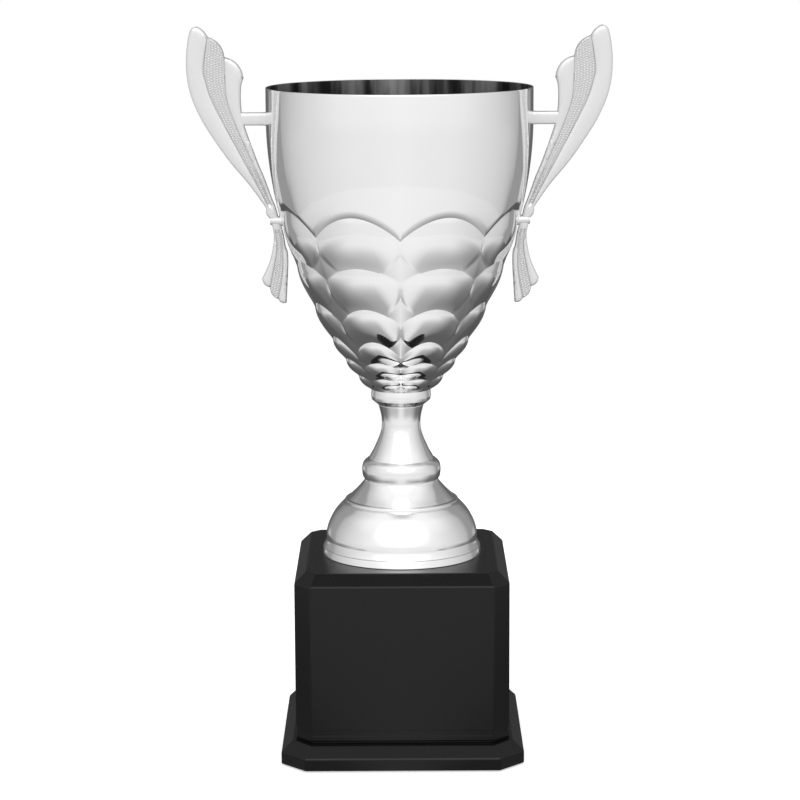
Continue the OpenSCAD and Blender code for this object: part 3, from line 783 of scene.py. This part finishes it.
def relief(points):
    """Half thickness of the handle, in millimetres, at each point."""
    rim_gap = gap_to(points, outline, True)
    groove_gap = np.min([gap_to(points, g) for g in grooves], axis=0)
    in_band = inside(points, bands[0]) | inside(points, bands[1])

    def rise(gap, width):
        return np.sqrt(1 - (1 - np.clip(gap / width, 0, 1)) ** 2)

    def crown(gap, width):
        return 1 - (1 - np.clip(gap / width, 0, 1)) ** 2

    from_rim = 1.15 + 0.95 * rise(rim_gap, 1.5) + 0.4 * crown(rim_gap, 5)
    feather = 1.7 + 0.4 * rise(groove_gap, 0.9) + 0.4 * crown(groove_gap, 5)
    band = 1.7 + 0.2 * crown(groove_gap, 2.5)
    return np.minimum(from_rim, np.where(in_band, band, feather))


# %% Filling the outline
def beside(line, closed, steps):
    """Points at set distances on both sides of a line."""
    after = np.roll(line, -1, 0) if closed else np.vstack([line[1:], line[-1:]])
    before = np.roll(line, 1, 0) if closed else np.vstack([line[:1], line[:-1]])
    way = after - before
    normal = np.stack([way[:, 1], -way[:, 0]], axis=1)
    normal /= np.linalg.norm(normal, axis=1)[:, None]
    out = []
    for gap in steps:
        for sign in (-1, 1):
            spots = line + sign * gap * normal
            near = np.min([gap_to(spots, outline, True)]
                          + [gap_to(spots, g) for g in grooves], axis=0)
            out.append(spots[(near > gap - 0.06) & inside(spots, outline)])
    return np.concatenate(out)


def filled_handle():
    near = (0.15, 0.45, 0.9, 1.5, 2.3)
    spots = [beside(outline, True, near)] + [beside(g, False, near) for g in grooves]
    u, v = np.meshgrid(np.arange(-8, 48, 1.3), np.arange(-45, 104, 1.13))
    u[::2] += 0.65
    lattice = np.stack([u.ravel(), v.ravel()], axis=1)
    clear = np.min([gap_to(lattice, outline, True)]
                   + [gap_to(lattice, g) for g in grooves], axis=0)
    spots.append(lattice[(clear > 2.6) & inside(lattice, outline)])
    points = [outline] + grooves + spots
    edges = []
    offset = len(outline)
    for g in grooves:
        edges += [(offset + k, offset + k + 1) for k in range(len(g) - 1)]
        offset += len(g)
    flat = [Vector(p) for p in np.concatenate(points)]
    made = delaunay_2d_cdt(flat, edges, [list(range(len(outline)))], 1, 0.02, False)
    plan = np.array([tuple(p) for p in made[0]])
    faces = np.array([tuple(f) for f in made[2]])
    kept = inside(plan[faces].mean(axis=1), outline)
    return plan, [tuple(f) for f in faces[kept].tolist()]


handle_plan, handle_faces = filled_handle()
handle_rise = relief(handle_plan)
groove_gap = np.min([gap_to(handle_plan, g) for g in grooves], axis=0)
in_band = inside(handle_plan, bands[0]) | inside(handle_plan, bands[1])
# Painted shade mask: 0.5 over the beaded band, plus up to 0.6 close to each groove line.
handle_painted_shade = np.where(in_band, 0.5, 0.0) + np.clip(1 - groove_gap / 0.45, 0, 1) * 0.6
print("handle plan:", len(handle_plan), "points,", len(handle_faces), "faces")

# %% [markdown]
# ### Moulded body, strap and boss
# A flat strap reaches from the inner feather to the bowl near the rim, and a round boss
# reaches it at the lower fixing. Both are part of the same moulding, so they join its mesh.

# %% Building a handle
fixing_low = rim - 70 * MM
fixing_high = rim - 16.5 * MM
handle_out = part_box("handle_right")[1].x - float(outline[:, 0].max()) * MM


def bar(sections, steps=5, power=4.0):
    """Rounded bar through (x, y, z, half width in y, half width in z) sections."""
    count = 4 * steps * 2
    turn = np.arange(count) * 2 * math.pi / count
    c, s = np.cos(turn), np.sin(turn)
    shape_y = np.sign(c) * np.abs(c) ** (2 / power)
    shape_z = np.sign(s) * np.abs(s) ** (2 / power)
    rings = [np.stack([np.full(count, x), y + wy * shape_y, z + wz * shape_z], axis=1)
             for x, y, z, wy, wz in sections]
    vertices, faces = skin(rings)
    end = len(vertices) - count
    return vertices, faces + [list(range(count))[::-1], list(range(end, end + count))]


def handle(name, sign):
    flat = np.stack([handle_out + handle_plan[:, 0] * MM, np.zeros(len(handle_plan)),
                     fixing_low + handle_plan[:, 1] * MM], axis=1)
    front_side, back_side = flat.copy(), flat.copy()
    front_side[:, 1] = -handle_rise * MM
    back_side[:, 1] = handle_rise * MM
    n = len(flat)
    faces = [list(f) for f in handle_faces] + [[i + n for i in f][::-1] for f in handle_faces]
    uses = {}
    for f in handle_faces:
        for a, b in zip(f, f[1:] + f[:1]):
            key = (min(a, b), max(a, b))
            uses[key] = None if key in uses else (a, b)
    for way in uses.values():
        if way:
            a, b = way
            faces.append([b, a, a + n, b + n])
    vertices = [front_side, back_side]
    wall_high = rim_radius - 0.3 * MM
    inner_end = handle_out + 18.9 * MM
    strap = [(inner_end, 0, fixing_high, 1.2 * MM, 2.9 * MM),
             (inner_end - 0.6 * MM, 0, fixing_high, 2.0 * MM, 3.5 * MM),
             (inner_end - 2.0 * MM, 0, fixing_high, 2.0 * MM, 3.4 * MM),
             (wall_high + 4.5 * MM, 0, fixing_high, 2.0 * MM, 3.4 * MM),
             (wall_high + 2.2 * MM, 0, fixing_high, 2.15 * MM, 3.4 * MM),
             (wall_high + 1.2 * MM, 0, fixing_high, 2.5 * MM, 3.5 * MM),
             (wall_high + 0.4 * MM, 0, fixing_high, 2.5 * MM, 3.6 * MM),
             (wall_high, 0, fixing_high, 2.4 * MM, 3.5 * MM)]
    wall_low = float(plain_radius(fixing_low - seat)) - 2.4 * MM
    boss = [(x, 0, fixing_low + tilt, r, r) for x, tilt, r in (
        (handle_out + 3.0 * MM, 0, 2.2 * MM), (handle_out + 1.0 * MM, 0, 2.7 * MM),
        (wall_low + 2.0 * MM, -0.0002, 2.7 * MM), (wall_low, -0.0005, 2.7 * MM))]
    total = 2 * n
    for more, more_faces in (bar(strap), bar(boss, power=2.0)):
        vertices.append(more)
        faces += [[i + total for i in f] for f in more_faces]
        total += len(more)
    placed = np.concatenate(vertices)
    placed[:, 0] *= sign
    # The painted shade mask covers both faces of the wing; the strap and the boss get none.
    painted_shade = np.zeros(len(placed))
    painted_shade[:2 * n] = np.tile(handle_painted_shade, 2)
    return finish_piece(name, placed, faces, bright_plastic, "bright_plastic", 45,
                        {"painted_shade": painted_shade})


handle_right = handle("handle_right_wing", 1)
handle_left = handle("handle_left_wing", -1)
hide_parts("handle_right")
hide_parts("handle_left")
print("handles done")

# %% [markdown]
# ### Beads, with Geometry Nodes
# The middle band is covered with small round beads in staggered columns that follow its
# curve. They repeat about a thousand times, so they are instances of one small sphere on a
# cloud of points, made real at the end.


# %% Bead tree
def bead_tree():
    tree = bpy.data.node_groups.new("beads_on_points", "GeometryNodeTree")
    face = tree.interface
    face.new_socket("Geometry", in_out="INPUT", socket_type="NodeSocketGeometry")
    radius = face.new_socket("Bead radius", in_out="INPUT", socket_type="NodeSocketFloat")
    flat = face.new_socket("Bead squash", in_out="INPUT", socket_type="NodeSocketFloat")
    coat = face.new_socket("Finish", in_out="INPUT", socket_type="NodeSocketMaterial")
    face.new_socket("Geometry", in_out="OUTPUT", socket_type="NodeSocketGeometry")
    start, end = tree.nodes.new("NodeGroupInput"), tree.nodes.new("NodeGroupOutput")
    ball = tree.nodes.new("GeometryNodeMeshUVSphere")
    ball.inputs["Segments"].default_value = 8
    ball.inputs["Rings"].default_value = 5
    size = tree.nodes.new("ShaderNodeCombineXYZ")
    size.inputs[0].default_value = size.inputs[2].default_value = 1.0
    cloud = tree.nodes.new("GeometryNodeMeshToPoints")
    put = tree.nodes.new("GeometryNodeInstanceOnPoints")
    real = tree.nodes.new("GeometryNodeRealizeInstances")
    smooth_on = tree.nodes.new("GeometryNodeSetShadeSmooth")
    dress = tree.nodes.new("GeometryNodeSetMaterial")
    link = tree.links.new
    link(start.outputs["Geometry"], cloud.inputs["Mesh"])
    link(start.outputs["Bead radius"], ball.inputs["Radius"])
    link(start.outputs["Bead squash"], size.inputs[1])
    link(cloud.outputs[0], put.inputs["Points"])
    link(ball.outputs["Mesh"], put.inputs["Instance"])
    link(size.outputs[0], put.inputs["Scale"])
    link(put.outputs[0], real.inputs[0])
    link(real.outputs[0], smooth_on.inputs["Geometry"])
    link(smooth_on.outputs[0], dress.inputs["Geometry"])
    link(start.outputs["Finish"], dress.inputs["Material"])
    link(dress.outputs[0], end.inputs["Geometry"])
    return tree, (radius.identifier, flat.identifier, coat.identifier)


def run_tree(name, points, tree, settings):
    """Runs a tree on a cloud of points and keeps the result as a plain mesh."""
    seed_mesh = bpy.data.meshes.new(name + "_points")
    seed_mesh.from_pydata([tuple(p) for p in points], [], [])
    holder = bpy.data.objects.new(name + "_points", seed_mesh)
    scene.collection.objects.link(holder)
    step = holder.modifiers.new(name, "NODES")
    step.node_group = tree
    for identifier, setting in settings.items():
        step[identifier] = setting
    bpy.context.view_layer.update()
    ready = holder.evaluated_get(bpy.context.evaluated_depsgraph_get())
    mesh = bpy.data.meshes.new_from_object(ready)
    bpy.data.objects.remove(holder)
    piece = bpy.data.objects.new(name, mesh)
    scene.collection.objects.link(piece)
    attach(piece, "root")
    print(name, "made:", len(mesh.polygons), "faces")
    return piece


bead_group, (radius_key, squash_key, coat_key) = bead_tree()


# %% Where the beads sit
def bead_spots(outer, inner, ring, column=1.57, pitch=1.3, clear=0.62, over=3.0):
    """Staggered columns that follow the middle of a band."""
    def even(line, count):
        run = np.r_[0, np.cumsum(np.linalg.norm(np.diff(line, axis=0), axis=1))]
        at = np.linspace(0, run[-1], count)
        return np.stack([np.interp(at, run, line[:, k]) for k in (0, 1)], axis=1)

    middle = (even(outer, 300) + even(inner, 300)) / 2
    head = middle[0] + (middle[0] - middle[8]) / np.linalg.norm(middle[0] - middle[8]) * over
    foot_end = middle[-1] + (middle[-1] - middle[-9]) \
        / np.linalg.norm(middle[-1] - middle[-9]) * over
    middle = np.vstack([head, middle, foot_end])
    run = np.r_[0, np.cumsum(np.linalg.norm(np.diff(middle, axis=0), axis=1))]
    spots = []
    for c in range(-6, 7):
        at = np.arange(0, run[-1], pitch) + (pitch / 2 if c % 2 else 0)
        x, y = np.interp(at, run, middle[:, 0]), np.interp(at, run, middle[:, 1])
        dx = np.interp(at + 0.3, run, middle[:, 0]) - np.interp(at - 0.3, run, middle[:, 0])
        dy = np.interp(at + 0.3, run, middle[:, 1]) - np.interp(at - 0.3, run, middle[:, 1])
        long = np.hypot(dx, dy) + 1e-9
        spots.append(np.stack([x + c * column * dy / long, y - c * column * dx / long], 1))
    spots = np.concatenate(spots)
    return spots[inside(spots, ring) & (gap_to(spots, ring, True) > clear)]


bead_plan = np.vstack([
    bead_spots(drawn(band_outer), drawn(band_inner), bands[0]),
    bead_spots(drawn(tail_band_outer), drawn(tail_band_inner), bands[1])])
bead_radius = 0.63 * MM
bead_depth = 1.74 * MM
for name, sign in (("handle_right_beads", 1), ("handle_left_beads", -1)):
    cloud = [(sign * (handle_out + u * MM), face * bead_depth, fixing_low + v * MM)
             for u, v in bead_plan for face in (-1, 1)]
    run_tree(name, cloud, bead_group,
             {radius_key: bead_radius, squash_key: 1.0, coat_key: bright_plastic})
print("beads on each face:", len(bead_plan))

# %% [markdown]
# ## What holds it together
# The rod, nuts, washers and screws are right in the engineering model, so they keep their
# shape and only get their metals. So do the ballast, the cover and the pads.

# %% Finishes for the kept pieces
kept = {"handle_screws": zinc, "handle_washers": zinc, "bowl_nut": zinc, "bowl_washer": zinc,
        "tie_rod": zinc, "rod_washer": zinc, "rod_nut": zinc, "ballast_screws": zinc,
        "base_screws": zinc, "ballast": cast_weight, "bottom_cover": cover_plastic,
        "foot_pads": pad_rubber}
for name, coat in kept.items():
    for slot in nodes[name].material_slots:
        slot.material = coat
print("kept", len(kept), "engineering pieces")
